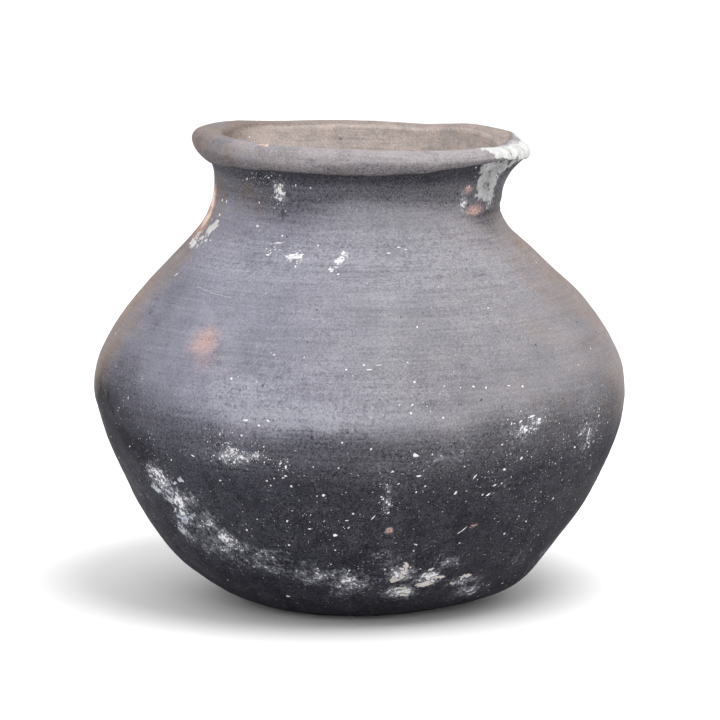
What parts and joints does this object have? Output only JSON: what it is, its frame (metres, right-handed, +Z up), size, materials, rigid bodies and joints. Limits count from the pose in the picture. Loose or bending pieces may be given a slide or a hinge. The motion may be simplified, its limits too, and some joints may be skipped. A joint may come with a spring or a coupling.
{
  "type": "clay pot",
  "caption": "Round-bodied dark clay pot with a short wide neck, a thick out-turned lip and a flattened base, for storing or cooking.",
  "frame": {"origin": "centre of the bottom of the pot's bounding box, which is the centre of the flat resting face", "axes": "+Z up along the body's axis, +X towards the side the rim leans down to, -Y towards the viewer's side"},
  "size_m": [0.2648, 0.2648, 0.2341],
  "materials": {
    "clay_charcoal": "smoked and lightly burnished, satin",
    "clay_grey": "smoked and lightly burnished, satin",
    "clay_brown_grey": "smoked, worn, satin",
    "lime_crust": "chalky, matt"
  },
  "bodies": {
    "root": {"base_disc": "clay_charcoal", "lower_bowl": "clay_charcoal", "shoulder": "clay_grey", "neck": "clay_grey", "rim": "clay_brown_grey", "rim_crust": "lime_crust", "neck_crust": "lime_crust", "shoulder_crust": "lime_crust", "belly_crust": "lime_crust", "base_crust": "lime_crust"}
  },
  "joints": []
}
